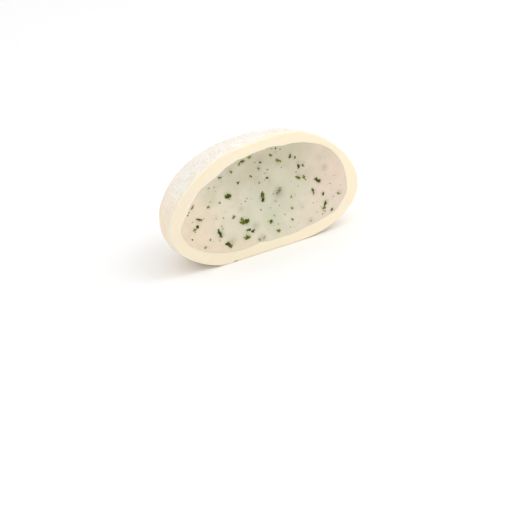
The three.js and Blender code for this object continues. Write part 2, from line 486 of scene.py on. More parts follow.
def dough_material(looks):
    """Cut dough, darker low on the left as painted shade and in random denser patches, and skin under an
    uneven film of starch that is whiter on the bumps' ridges and tan in their hollows, partly as painted
    shading.
    """
    finish = Finish("rice_dough")
    dusting = finish.attribute("dusting")
    mottle = finish.noise(5.0 * MM, 3.0)
    streaks = finish.noise(1.6 * MM, 5.0, 0.6, finish.squeezed((1.0, 2.0, 1.0)))
    powder_and_painted_shade = finish.noise(0.42 * MM, 3.0, 0.6, finish.squeezed((1.0, 1.25, 1.0)))
    # Painted shade: the cut turns towards deep_colour low on the left, as if lit from the upper right; the
    # mottle adds random denser patches.
    rightward = finish.math("MULTIPLY_ADD", finish.axis("Z"), 0.5, finish.axis("X"))
    left_painted_shade = finish.span(rightward, 12 * MM, -12 * MM)
    deep = finish.math("ADD", left_painted_shade, finish.span(mottle, 0.4, 0.6, -0.15, 0.15))
    cut = finish.mix(deep, looks.colour, looks.deep_colour)
    # Pale band beside the seam, and painted light that pales the cut's rounded outer edge.
    cut = finish.mix(finish.attribute("lip"), cut, looks.lip_and_painted_light_colour)
    skin = finish.mix(finish.attribute("bareness"), cut, looks.bare_colour)
    # Starch and painted shading: the film is whiter where the bump rises and thinner in its hollows, so
    # ridges read as lit and hollows as shaded.
    starch_streaks_and_shade = finish.span(streaks, 0.3, 0.7, -0.4, 0.4)
    uneven = finish.math("ADD", starch_streaks_and_shade, finish.span(powder_and_painted_shade, 0.3, 0.7, -0.75, 0.75))
    unevenness = finish.math("MULTIPLY_ADD", dusting, 1.25, -0.08)
    cover = finish.math("MULTIPLY_ADD", uneven, unevenness, dusting)
    film = finish.math("MULTIPLY", finish.span(cover, 0.1, 0.8), finish.span(dusting, 0.0, 0.15))
    starch_film_and_painted_shading = finish.mix(film, skin, looks.dusted_colour)
    clumps = finish.math("MULTIPLY", finish.span(cover, 0.75, 1.35), dusting)
    finish.set(
        base_color=finish.mix(clumps, starch_film_and_painted_shading, looks.starch_colour),
        roughness=finish.span(film, 0.0, 1.0, 0.4, 0.85),
        subsurface_weight=0.7,
        subsurface_radius=(1.0, 0.85, 0.7),
        subsurface_scale=0.4 * MM,
    )
    grain = finish.math("MULTIPLY", finish.math("ADD", streaks, powder_and_painted_shade), dusting)
    finish.bump(grain, 0.2 * MM)
    return finish.material


def cream_tone(finish, looks):
    """The cream's colour: greenish in the middle, warmer on the left, rosier on the right."""
    drift = finish.span(finish.noise(8.0 * MM, 3.0), 0.3, 0.7, -3.5 * MM, 3.5 * MM)
    sway = finish.span(finish.noise(5.0 * MM, 3.0), 0.3, 0.7, -3.0 * MM, 3.0 * MM)
    x = finish.math("ADD", finish.axis("X"), drift)
    z = finish.math("ADD", finish.axis("Z"), sway)
    upward = finish.math("MULTIPLY_ADD", x, 0.2, z)
    shade = finish.span(upward, 7 * MM, 25 * MM)
    tone = finish.mix(shade, looks.colour, looks.shaded_colour)
    aside = finish.math("DIVIDE", finish.math("SUBTRACT", x, GREEN_X), GREEN_REACH_X)
    above = finish.math("DIVIDE", finish.math("SUBTRACT", z, GREEN_Z), GREEN_REACH_Z)
    squared = finish.math("MULTIPLY", aside, aside)
    far = finish.math("SQRT", finish.math("MULTIPLY_ADD", above, above, squared))
    tone = finish.mix(finish.span(far, 1.0, 0.2, 0.0, 0.75), tone, looks.green_colour)
    leftward = finish.math("MULTIPLY_ADD", z, 0.6, x)
    tone = finish.mix(finish.span(leftward, 3 * MM, -13 * MM), tone, looks.warm_colour)
    tone = finish.mix(finish.span(x, 5 * MM, 23 * MM), tone, looks.rosy_colour)
    clouds = finish.span(finish.noise(2.2 * MM, 5.0, 0.6), 0.35, 0.7, 0.0, 0.2)
    tone = finish.mix(clouds, tone, looks.shaded_colour)
    grain = finish.span(finish.noise(0.4 * MM, 4.0, 0.7), 0.35, 0.65, 0.0, 0.12)
    return finish.mix(grain, tone, looks.shaded_colour)


def cream_material(looks):
    """Smooth cream, darker where herb lies under its surface."""
    finish = Finish("cream_filling")
    sunken = finish.attribute("sunken")
    tone = finish.mix(sunken, cream_tone(finish, looks), looks.deep_colour)
    finish.set(
        base_color=tone,
        roughness=0.42,
        subsurface_weight=0.7,
        subsurface_radius=(1.0, 0.9, 0.75),
        subsurface_scale=0.25 * MM,
    )
    finish.bump(finish.noise(0.8 * MM, 5.0), 0.03 * MM)
    return finish.material


def herb_material(looks, cream_looks):
    """Leaf from dark green to olive, or brown, under a film of cream of its own thickness."""
    finish = Finish("green_herb")
    vein = finish.noise(0.34 * MM, 3.0)
    light = finish.math("ADD", finish.attribute("lightness"), finish.span(vein, 0.35, 0.65, -0.35, 0.35))
    leaf = finish.mix(finish.span(light, 0.0, 1.0), looks.leaf_colour, looks.olive_colour)
    leaf = finish.mix(finish.span(light, BROWN - 0.5, BROWN - 0.3), leaf, looks.brown_colour)
    film = finish.math("ADD", finish.attribute("film"), finish.span(vein, 0.35, 0.65, -0.1, 0.1))
    paleness = finish.span(light, 0.2, 1.0, 0.0, 0.5)
    cover = finish.mix(paleness, cream_tone(finish, cream_looks), looks.pale_colour)
    finish.set(
        base_color=finish.mix(finish.span(film, 0.05, 0.95), leaf, cover),
        roughness=0.6,
        specular_ior_level=0.1,
    )
    finish.bump(vein, 0.04 * MM)
    return finish.material


def starch_material(looks):
    finish = Finish("starch_dust")
    shade = finish.noise(0.5 * MM, 2.0)
    tone = finish.mix(shade, looks.starch_colour, looks.dusted_colour)
    finish.set(base_color=tone, roughness=0.9, subsurface_weight=0.3, subsurface_scale=0.3 * MM)
    return finish.material


# ---- the dough

BACK_ROWS = 140  # from the middle of the back to the cut
CORNERS = np.linspace(0, math.pi / 2, 6)  # turns of the rows round either edge of the cut
FACE_ROWS = 12  # across the cut
WALL_ROWS = 14  # down the wall of the hollow, and over the cream's back
CROWDING = 1.15  # above 1, the rows of the outside crowd towards the cut
EDGE_MARGIN = 1.2  # how many radii before an edge its rounding takes over

NICK_X = -9.7 * MM
NICK_HEIGHT = 0.25 * MM
NICK_SPREAD = 0.4 * MM
NICK_REACH = 1.2 * MM  # how far it is felt behind the cut and up from the table

# Small heaps of starch: the turn round the outline and the tilt away from the back, in degrees, and
# the spread in mm.
HEAPS = [(169.3, 79.0, 0.45), (167.8, 79.4, 0.35)]
HEAP_THICKNESS = 1.8  # against 1 on well dusted dough

LIP_TURN = 150  # in degrees, where the lip is palest
LIP_SPREAD = 40
LIP_WIDTH = 0.45 * MM


class RICECAKE_OT_dough(bpy.types.Operator):
    """Models the shell of rice dough, open at the cut"""

    bl_idname = "rice_cake.dough"
    bl_label = "Rice Dough"

    def execute(self, context):
        sizes = context.scene.rice_cake_dough
        outside = dough_form(sizes)
        hollow = hollow_form(context.scene.rice_cake_filling)

        piece = wrap_grid("dough", sizes.around, lambda turn: self.rows(turn, sizes, outside, hollow))
        points = coordinates(piece.data)
        inside = self.is_inside(points, hollow)
        behind = points[:, 1] - CUT_Y
        height = smoothstep(points[:, 2], 0.3 * CAKE_HEIGHT, 0.75 * CAKE_HEIGHT)
        outer = np.where(inside, 0.0, self.skin(points, behind, height))
        off_table = smoothstep(points[:, 2], 0.3 * MM, 3 * MM)
        free = np.where(inside, 0.0, smoothstep(behind, 0.5 * MM, 6 * MM)) * off_table
        displace(piece, "lumps", 8 * MM, sizes.lumps, weigh(piece, "free", free))
        skin = weigh(piece, "outer", outer)
        displace(piece, "wrinkles", 1.3 * MM, sizes.wrinkles, skin, depth=3, squeeze=2.4)
        points = coordinates(piece.data)
        points[:, 2] = np.maximum(points[:, 2], 0) + self.nick(points)
        move_to(piece.data, points)
        drifted = points[:, 2] + 3 * MM * noise_at(points, 8 * MM, 3, 12.0)
        top = smoothstep(drifted, 0.34 * CAKE_HEIGHT, 0.9 * CAKE_HEIGHT)
        dusting = np.maximum(0.12 + 0.95 * top, self.heaps(points, outside))
        write_attribute(piece.data, "dusting", outer * dusting)
        write_attribute(piece.data, "bareness", outer * (1 - 0.7 * top))
        # Painted light: the cut's rounded outer edge is made paler, more so up high, to lift the shade that
        # falls on it there.
        painted_light_margin = np.where(inside, 0.0, (1 - outer) * smoothstep(behind, 0, 0.4 * MM)) * (0.2 + 0.6 * height)
        write_attribute(piece.data, "lip", np.maximum(painted_light_margin, self.lip(points, hollow)))
        piece.vertex_groups.clear()
        complete(piece, dough_material(sizes))
        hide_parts("rice_skin")
        return {"FINISHED"}

    def rows(self, turn, sizes, outside, hollow):
        """Rows of points from the back, over the outside and the cut, and down into the hollow."""
        rim = outside.place(turn, math.pi / 2)
        edge = hollow_wall(hollow, turn)
        width = norm(edge - rim)[:, None]
        inward = (edge - rim) / width
        behind = np.array([0.0, 1.0, 0.0])
        outer, inner = sizes.outer_round, sizes.inner_round
        last = math.pi / 2 - EDGE_MARGIN * outer / outside.drop
        progress = np.linspace(0, 1, BACK_ROWS + 1)
        rows = [outside.place(turn, last * (1 - (1 - part) ** CROWDING)) for part in progress]
        for corner in CORNERS:
            along, back = 1 - math.cos(corner), 1 - math.sin(corner)
            rows.append(rim + inward * outer * along + behind * outer * back)
        for part in np.linspace(0, 1, FACE_ROWS + 1)[1:-1]:
            rows.append(rim + inward * (outer + (width - outer - inner) * part))
        for corner in CORNERS:
            along, back = 1 - math.sin(corner), 1 - math.cos(corner)
            rows.append(edge - inward * inner * along + behind * inner * back)
        last = math.pi / 2 - EDGE_MARGIN * inner / hollow.drop
        rows += [hollow_wall(hollow, turn, last * part) for part in np.linspace(1, 0, WALL_ROWS)]
        return np.stack(rows)

    def skin(self, points, behind, height):
        """Where the outside starts behind the cut: raggedly, and sooner near the crown."""
        ragged = 0.9 * MM * noise_at(points, 1.3 * MM, 3, 4.0)
        bare_margin = (4.0 - 2.4 * height) * MM
        started = smoothstep(behind + ragged * height, 0.1 * MM, bare_margin)
        return started * smoothstep(behind, 0, 0.3 * MM)

    def heaps(self, points, outside):
        """Where the starch lies in small heaps."""
        thick = np.zeros(len(points))
        for turn, tilt, spread in HEAPS:
            heap = outside.place(np.radians(turn), np.radians(tilt))
            middle = points[norm(points - heap).argmin()]
            away = norm(points - middle) + 0.2 * MM * noise_at(points, 0.8 * MM, 1, 8.0)
            thick = np.maximum(thick, HEAP_THICKNESS * bell(away, spread * MM))
        return thick

    def nick(self, points):
        """How far the lower edge of the cut is raised by a small nick."""
        aside = bell(points[:, 0] - NICK_X, NICK_SPREAD)
        behind = 1 - smoothstep(points[:, 1] - CUT_Y, 0.2 * MM, NICK_REACH)
        above = 1 - smoothstep(points[:, 2], 0, NICK_REACH)
        return NICK_HEIGHT * aside * behind * above

    def lip(self, points, hollow):
        """Where the dough in the cut is made paler: in a band beside the seam, high on the left."""
        lip = np.zeros(len(points))
        front = points[:, 1] < CUT_Y + 0.2 * MM
        offset = points[front] - hollow.centre
        turn = np.arctan2(offset[:, 2], offset[:, 0])
        seam = hollow_wall(hollow, turn) - hollow.centre
        beyond = norm(offset) - norm(seam)
        away = np.degrees(turn) - LIP_TURN
        patchy = 0.75 + 0.4 * noise_at(points[front], 2 * MM, 2, 6.0)
        lip[front] = 0.8 * patchy * bell(beyond, LIP_WIDTH) * bell(away, LIP_SPREAD)
        return lip

    def is_inside(self, points, hollow):
        """Which points lie on the wall of the hollow."""
        offset = points - hollow.centre
        distance = norm(offset)
        direction = offset / np.maximum(distance, 1e-9)[:, None]
        limit = hollow.reach(direction) + 1.2 * MM
        return (distance < limit) & (points[:, 2] > 1.0 * MM)


# ---- where the herb lies

# Herb that lies under the surface: x, z and size in mm, and how much of it shows.
DEEP_SPOTS = [
    (15.8, 15.4, 0.8, 0.3), (8.6, 8.2, 0.8, 0.16), (10.4, 4.1, 0.6, 0.28), (-6.3, 11.8, 0.7, 0.2),
    (-12.8, 11.5, 0.6, 0.14), (-3.3, 15.7, 0.9, 0.12), (14.5, 18, 1.1, 0.1), (3.3, 12.9, 1.2, 0.45),
    (-3.6, 6.9, 0.9, 0.25), (-9.9, 4.9, 0.9, 0.4), (-0.6, 19.7, 0.6, 0.35), (0.8, 18.2, 0.5, 0.2),
    (2.4, 11.2, 0.7, 0.18), (-2.4, 3.5, 1.1, 0.3), (9.4, 18.3, 0.5, 0.3), (-2.3, 16.8, 3.4, 0.08),
    (0, 21.5, 1.2, 0.14), (-11.7, 9, 0.6, 0.14), (14.2, 5.1, 0.5, 0.2), (-13.4, 18.6, 0.3, 0.25),
    (4.1, 22.3, 0.4, 0.2),
]

BROWN = 2.0  # the lightness that marks a scrap of brown leaf

# The flecks of herb that the solid has too: x, z, length and width in mm, tilt in degrees from +X,
# lightness, and how much of a film of cream covers it. Those that touch are fingers of one leaf.
FLECKS = [
    (-6.6, 8.4, 1.3, 0.45, -38, 0.3, 0), (-6.4, 8.9, 1.6, 0.45, -72, 0.55, 0),
    (-5.5, 8.55, 1.5, 0.95, 18, 0.15, 0), (-10.9, 4.6, 1.4, 0.8, -40, 0, 0),
    (-10.2, 3.95, 0.9, 0.55, 20, 0.4, 0), (-12.5, 7.65, 2.1, 0.55, -72, 0.05, 0),
    (-9.1, 15.5, 1.6, 0.9, -12, 0.15, 0), (-0.65, 13.4, 1.5, 0.7, 85, 0.2, 0.1),
    (-0.7, 12.3, 1, 0.6, 75, 0.15, 0), (13.3, 13.2, 0.9, 0.6, -60, 0.05, 0),
    (13.8, 12.7, 1.1, 0.6, -10, 0, 0), (-6, 4.7, 1.5, 0.75, -3, 0.4, 0),
    (-5.3, 6.4, 1.1, 0.5, -8, 0.2, 0.15), (-4.4, 5.8, 1, 0.45, 25, 0.2, 0),
    (3.8, 13.4, 1.1, 0.7, 40, 0.1, 0.4), (3.2, 12.7, 0.7, 0.45, 10, 0.1, 0.35),
    (14.7, 6.9, 1.25, 0.45, 62, 0.1, 0), (14.2, 5.95, 1, 0.5, 0, 0.75, 0),
    (9.3, 17.5, 1.05, 0.5, 85, 0.05, 0), (10.4, 17.4, 0.7, 0.4, -60, 0.25, 0.3),
    (4.5, 20.2, 1.25, 0.5, -25, 0.5, 0.1), (8.8, 14.95, 1.3, 0.4, -42, 0.4, 0.1),
    (10.3, 14.65, 0.9, 0.4, -75, 0.55, 0.1), (12.05, 10.8, 1.2, 0.4, -75, 0.2, 0.1),
    (7.6, 20.3, 0.85, 0.55, 60, 0.35, 0.15), (8.8, 19.8, 0.55, 0.4, 0, 0.3, 0.1),
    (-4.3, 22.4, 1.1, 0.5, 5, 0.3, 0.15), (-5.2, 21.9, 0.7, 0.4, 30, 0.6, 0.1),
    (-16.9, 12.25, 1.25, 0.45, -28, 0.25, 0.1), (-17.6, 10.8, 0.8, 0.6, -70, 0, 0),
    (-18.4, 10.2, 0.8, 0.4, 10, 0.9, 0), (0.5, 6.7, 0.95, 0.6, 50, 0.25, 0),
    (-3, 3.4, 0.7, 0.5, -30, 0.3, 0.35), (-1.8, 3.45, 0.8, 0.4, 50, 0.3, 0.5),
    (-8.5, 10.4, 0.85, 0.45, 68, 0.4, 0.1), (14.6, 9.35, 0.75, 0.4, 80, 0.05, 0),
    (16.2, 5.1, 0.7, 0.45, 30, 0.4, 0), (18.5, 8.3, 0.85, 0.3, -50, 0.5, 0.3),
    (2, 4, 1.05, 0.45, -20, 0.65, 0), (2.85, 21.9, 0.75, 0.4, -38, 0.45, 0),
    (0.1, 20.95, 0.7, 0.4, -40, 0.3, 0.3), (-2.9, 18.55, 0.7, 0.4, -30, 0.4, 0.2),
    (1.1, 17, 0.65, 0.4, 10, 0.4, 0), (-7.5, 20.9, 0.75, 0.3, -38, 0.55, 0),
    (-6.2, 17.95, 0.7, 0.3, -25, 0.35, 0), (-10.4, 20.2, 0.8, 0.4, 10, 0.3, 0.25),
    (-18, 15.5, 0.8, 0.3, 42, 0.7, 0.15), (-2.4, 22.8, 0.9, 0.4, 8, 0.85, 0.1),
    (6.2, 8.2, 0.6, 0.45, 0, 0.7, 0), (5.8, 5.7, 0.65, 0.3, -40, 0.8, 0.1),
    (6.4, 11.05, 0.6, 0.28, 88, 0.95, 0.1), (-15, 6.9, 0.6, 0.28, 90, 0.95, 0.1),
    (-14.2, 14.55, 0.6, 0.35, 0, 0.8, 0.1), (-16.5, 5.4, 0.6, 0.35, 40, 0.4, 0.3),
]

# Scraps too small for the solid: x, z, length and width in mm, tilt, lightness and film.
SCRAPS = [
    (-19.3, 8.2, 0.45, 0.35, 0, 0.4, 0.05), (-18.3, 9.7, 0.3, 0.3, 0, 0.85, 0),
    (-18.6, 12.1, 0.4, 0.3, 0, 0.7, 0.5), (-15.8, 12.15, 0.35, 0.3, 0, 0.9, 0.5),
    (-19, 14.55, 0.45, 0.3, 60, 0.75, 0.15), (-19.4, 14, 0.45, 0.3, 45, 0.85, 0.15),
    (-13.4, 18.7, 0.45, 0.35, 0, 0.1, 0.45), (-12.1, 18.5, 0.35, 0.3, 0, 0.9, 0.35),
    (-13.5, 15.5, 0.5, 0.4, 45, 0.7, 0.6), (-11.3, 14.6, 0.6, 0.45, 30, 0.8, 0.3),
    (-8.85, 14.7, 0.4, 0.3, -40, 0.7, 0.3), (-11.05, 10.9, 0.4, 0.3, -40, 0.6, 0.3),
    (-11.8, 9.1, 0.6, 0.3, -70, 0.7, 0.55), (-11.6, 8.55, 0.5, 0.35, -50, 0.6, 0.5),
    (-12.7, 6, 0.7, 0.4, -60, 0.3, 0.6), (-5.1, 13.15, 0.35, 0.3, 0, 0.4, 0.3),
    (-4.5, 13.7, 0.4, 0.3, 30, 0.6, 0.5), (-1, 16.4, 0.45, 0.35, 90, 0.85, 0.05),
    (-1.3, 21.35, 0.45, 0.3, -20, 0.4, 0.45), (-1.65, 10.15, 0.5, 0.4, -50, 0.2, 0.4),
    (-0.2, 6.9, 0.4, 0.35, 0, 0.9, 0.55), (4.3, 23.1, 0.5, 0.35, 80, 0.2, 0.1),
    (3.3, 23.25, 0.6, 0.25, -10, 0.2, 0.45), (5.4, 22.65, 0.5, 0.35, 60, 0.6, 0.45),
    (1.55, 18.85, 0.45, 0.35, 0, 0.6, 0.05), (0.8, 18.15, 0.5, 0.3, 0, 0.1, 0.55),
    (0.5, 16.6, 0.4, 0.35, 0, 0.5, 0.55), (8.5, 16.3, 0.5, 0.4, 0, 0.3, 0.6),
    (8.5, 12.95, 0.4, 0.3, 0, 1, 0.55), (2.05, 12.85, 0.35, 0.3, 0, 0.6, 0.35),
    (2.4, 11.1, 0.6, 0.5, 0, 0.3, 0.65), (0.8, 9.9, 0.5, 0.4, 0, 0.6, 0.6),
    (1.5, 7.8, 0.7, 0.4, -60, 0.4, 0.6), (4.15, 7.3, 0.5, 0.35, -30, 0.9, 0.5),
    (2.15, 5.6, 0.45, 0.35, 80, 0.5, 0.5), (12.05, 9.85, 0.35, 0.3, 0, 0.5, 0.3),
    (11.7, 7.9, 0.4, 0.35, 0, 0.9, 0.6), (12.3, 5.45, 0.4, 0.3, 0, 0.8, 0.55),
    (14.3, 5.2, 0.8, 0.25, -20, 0.5, 0.45), (13.6, 4.6, 0.4, 0.3, 0, 0.4, 0.4),
    (17.05, 7.95, 0.35, 0.3, 0, 0.8, 0.45), (16.7, 11.2, 0.7, 0.2, -35, 0.9, 0.55),
    (10.5, 3.9, 0.45, 0.35, 0, 0.3, 0.5), (5.1, 4, 0.35, 0.3, 0, 0.7, 0.5),
    (-0.6, 19.7, 0.5, 0.35, -30, BROWN, 0), (5.05, 18.4, 0.4, 0.3, 80, BROWN, 0.45),
    (10.6, 13.9, 0.4, 0.3, -40, BROWN, 0.1), (3.15, 9.8, 0.3, 0.25, 0, BROWN, 0.4),
]

Fleck = namedtuple("Fleck", "x z length width tilt lightness film")


def placed(rows, longer=1.0, wider=1.0):
    """The rows of a table as flecks, with their places and sizes in metres."""
    return [
        Fleck(x * MM, z * MM, length * MM * longer, width * MM * wider, *rest)
        for x, z, length, width, *rest in rows
    ]


# ---- the filling

CREAM_ROWS = 100  # from the middle of the cream's face to its edge
TUCK = 0.002  # how far the face reaches into the dough, as a share of its own reach
CREAM_GAP = 0.05 * MM  # between the cream's back and the dough
STRAY = 0.3 * MM  # how far the blurred herb strays from a round spot
STRAY_WAVE = 1.1 * MM
ECHO_OFFSET = 0.25 * MM  # how far beside a fleck its own blurred herb lies
ECHO_TURN = 2.4  # in radians, from one fleck's offset to the next


class RICECAKE_OT_filling(bpy.types.Operator):
    """Models the cream, with a smooth cut face just behind the cut"""

    bl_idname = "rice_cake.filling"
    bl_label = "Cream Filling"

    def execute(self, context):
        sizes = context.scene.rice_cake_filling
        hollow = hollow_form(sizes)
        body = hollow_form(sizes, CREAM_GAP)

        def place(turn):
            edge = hollow_wall(hollow, turn)
            edge += (edge - hollow.centre) * TUCK
            middle = hollow.centre + (0, sizes.recess, 0)
            rows = [middle + (edge - hollow.centre) * (i / CREAM_ROWS) for i in range(CREAM_ROWS + 1)]
            for i in range(1, WALL_ROWS + 1):
                tilt = (math.pi / 2) * (1 - i / WALL_ROWS)
                rows.append(body.place(turn, tilt))
            return np.stack(rows)

        piece = wrap_grid("cream", sizes.around, place)
        points = coordinates(piece.data)
        front = points[:, 1] < CUT_Y + sizes.recess + 0.01 * MM
        points[front] = swollen(points[front], sizes.swell)
        move_to(piece.data, points)
        sunken = np.zeros(len(points))
        sunken[front] = herb_below(points[front])
        write_attribute(piece.data, "sunken", sunken)
        complete(piece, cream_material(sizes))
        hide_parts("filling")
        return {"FINISHED"}


def swollen(points, swell):
    """The slight unevenness of the cut cream, which its flecks follow."""
    in_plane = points * (1, 0, 1)
    moved = points.copy()
    moved[:, 1] += swell * noise_at(in_plane, 7 * MM, 2, 3.0)
    return moved


def herb_below(points):
    """How much herb shows through the cream: beside the flecks, and in blurred spots of its own."""
    x = points[:, 0] + STRAY * noise_at(points, STRAY_WAVE, 2, 7.0)
    z = points[:, 2] + STRAY * noise_at(points, STRAY_WAVE, 2, 17.0)
    shown = np.zeros(len(points))
    for index, fleck in enumerate(placed(FLECKS)):
        turn = ECHO_TURN * index
        right, up = ECHO_OFFSET * math.cos(turn), ECHO_OFFSET * math.sin(turn)
        distance = np.hypot(x - fleck.x - right, z - fleck.z - up)
        spread = 0.3 * fleck.length + 0.3 * MM
        strength = min(0.5, 0.34 * fleck.length / MM) * (1 - 0.5 * fleck.lightness)
        shown = np.maximum(shown, strength * bell(distance, spread))
    for spot_x, spot_z, size, strength in DEEP_SPOTS:
        distance = np.hypot(x - spot_x * MM, z - spot_z * MM)
        shown = np.maximum(shown, strength * bell(distance, size * MM))
    return shown


# ---- the flecks

OUTLINES = 6  # differently ragged scraps, used in turn
FLECK_SIDES = 22
FLECK_STEPS = ((0.85, 0.8), (0.75, 0.7), (0.5, 0.3))  # shrink to this share, and rise this far
RAGGEDNESS = 0.5
FRAYS_PER_MM = 3.5
FRAY_REACH = 0.46  # how far out the frays lie, as a share of the fleck's length and width
CLEARANCE = 0.2 * MM  # between scattered specks and what lies near
EDGE_CLEARANCE = 0.1 * MM  # between scattered specks and the cream's edge
FLATTENING = 1.4  # how much less a fleck rises, as a share of its film of cream
BASE_DEPTH = 0.6  # how deep in the cream its base lies, as a share of its rise


def lies_on(cream, x, z, clearance):
    """Whether a round of that clearance lies wholly on the cream."""
    offset = np.array([x, CUT_Y, z]) - cream.centre
    distance = norm(offset)
    edge = cream.reach(offset / distance)
    return distance + clearance < edge and z - clearance > cream.floor


def strewn(cream, rng, number, shortest, longest, taken):
    """Specks strewn over the cream, each where there is room for it."""
    found = []
    while len(found) < number:
        size = rng.uniform(shortest, longest) * MM
        x = cream.centre[0] + rng.uniform(-1, 1) * cream.half_width
        z = cream.floor + rng.uniform(0, 1) * (cream.centre[2] - cream.floor + cream.rise)
        near = [o for o in taken if math.hypot(x - o.x, z - o.z) <= (size + o.length) / 2 + CLEARANCE]
        if not near and lies_on(cream, x, z, size / 2 + EDGE_CLEARANCE):
            width, tilt = size * rng.uniform(0.5, 0.9), rng.uniform(0, 180)
            found.append(Fleck(x, z, size, width, tilt, rng.uniform(0.3, 1), rng.uniform(0, 0.5)))
            taken.append(found[-1])
    return found


def frayed(fleck, rng):
    """Small scraps that lie at a fleck's edge, as it isn't cut clean."""
    tilt = math.radians(fleck.tilt)
    scraps = []
    for _ in range(int(FRAYS_PER_MM * fleck.length / MM)):
        turn = rng.uniform(0, 2 * math.pi)
        along = FRAY_REACH * fleck.length * math.cos(turn)
        aside = FRAY_REACH * fleck.width * math.sin(turn)
        size = rng.uniform(0.3, 0.6) * MM
        x = fleck.x + along * math.cos(tilt) - aside * math.sin(tilt)
        z = fleck.z + along * math.sin(tilt) + aside * math.cos(tilt)
        width, turned = size * rng.uniform(0.4, 0.8), rng.uniform(0, 180)
        lightness = min(1.0, fleck.lightness + rng.uniform(0.0, 0.4))
        scraps.append(Fleck(x, z, size, width, turned, lightness, fleck.film))
    return scraps


def put_in_order():
    """Sorts what is selected, as extruding leaves its points and faces in another order each run."""
    cursor = bpy.context.scene.cursor
    cursor.location = (3, 2, 1)  # no two points are equally far from here
    bpy.ops.mesh.sort_elements(type="CURSOR_DISTANCE", elements={"VERT", "EDGE", "FACE"})
    cursor.location = (0, 0, 0)


def fleck_master(number):
    """A scrap of leaf, one unit long, that rises towards -Y from its thin edge."""
    deselect()
    upright = (math.pi / 2, 0, 0)
    bpy.ops.mesh.primitive_circle_add(vertices=FLECK_SIDES, radius=1, fill_type="NGON", rotation=upright)
    piece = bpy.context.object
    bpy.ops.object.transform_apply(location=False, rotation=True, scale=False)
    bpy.ops.object.mode_set(mode="EDIT")
    bpy.ops.mesh.select_all(action="SELECT")
    for shrink, rise in FLECK_STEPS:
        bpy.ops.mesh.extrude_region_move(TRANSFORM_OT_translate={"value": (0, -rise, 0)})
        bpy.ops.transform.resize(value=(shrink, 1, shrink))
    bpy.ops.mesh.select_all(action="SELECT")
    bpy.ops.mesh.normals_make_consistent(inside=False)
    put_in_order()
    bpy.ops.object.mode_set(mode="OBJECT")
    points = coordinates(piece.data)
    reach = np.hypot(points[:, 0], points[:, 2])
    around = points / reach[:, None] * (1, 0, 1)
    ragged = 1.05 + RAGGEDNESS * noise_at(around, 0.5, 3, 3.7 * number)
    points[:, 0] *= 0.5 * ragged
    points[:, 2] *= 0.5 * ragged
    move_to(piece.data, points)
    write_attribute(piece.data, "film", 0.55 * smoothstep(reach, 0.6, 1.0))
    return piece


class RICECAKE_OT_flecks(bpy.types.Operator):
    """Strews the flecks of herb over the cut face of the cream"""

    bl_idname = "rice_cake.flecks"
    bl_label = "Herb Flecks"

    def execute(self, context):
        settings = context.scene.rice_cake_flecks
        cream_sizes = context.scene.rice_cake_filling
        rng = np.random.default_rng(settings.seed)
        cream = hollow_form(cream_sizes, PIECE_GAP)
        flecks = placed(FLECKS, 1.1, 1.2)
        frays = [scrap for fleck in flecks for scrap in frayed(fleck, rng)]
        scraps = placed(SCRAPS, 1.1, 1.1)
        specks = strewn(cream, rng, settings.specks, 0.12, 0.25, flecks + frays + scraps)
        masters = [fleck_master(number) for number in range(OUTLINES)]
        deselect()
        for index, fleck in enumerate(flecks + frays + scraps + specks):
            copy = self.lay(context, masters[index % OUTLINES], fleck)
            copy.select_set(True)
            context.view_layer.objects.active = copy
        for master in masters:
            bpy.data.objects.remove(master)
        bpy.ops.object.join()
        piece = context.object
        piece.name = piece.data.name = "herb_flecks"
        complete(piece, herb_material(settings, cream_sizes), 60)
        return {"FINISHED"}

    def lay(self, context, master, fleck):
        """Lays a copy of a master on the cream."""
        rise = context.scene.rice_cake_flecks.rise * (1 - FLATTENING * fleck.film)
        filling = context.scene.rice_cake_filling
        mesh = master.data.copy()
        copy = bpy.data.objects.new("fleck", mesh)
        context.collection.objects.link(copy)
        turn = Matrix.Rotation(math.radians(-fleck.tilt), 4, "Y")
        scale = Matrix.Diagonal((fleck.length, rise, fleck.width, 1))
        place = Matrix.Translation((fleck.x, CUT_Y + filling.recess + BASE_DEPTH * rise, fleck.z))
        mesh.transform(place @ turn @ scale)
        move_to(mesh, swollen(coordinates(mesh), filling.swell))
        layer = mesh.attributes["film"].data
        film = gather(layer, "value", kind=np.float32)
        layer.foreach_set("value", np.maximum(film, fleck.film))
        write_attribute(mesh, "lightness", fleck.lightness + 0.3 * film)
        return copy


# ---- the starch

SIZE_SPREAD = 0.38  # of the grains' sizes, on a log scale
GRAIN_ROUGHNESS = 0.25
GRAIN_FLATNESS = 0.45  # how much flatter a grain lies than it is wide
GRAIN_LIFT = 0.12  # how far its middle stands off the dough, as a share of its size


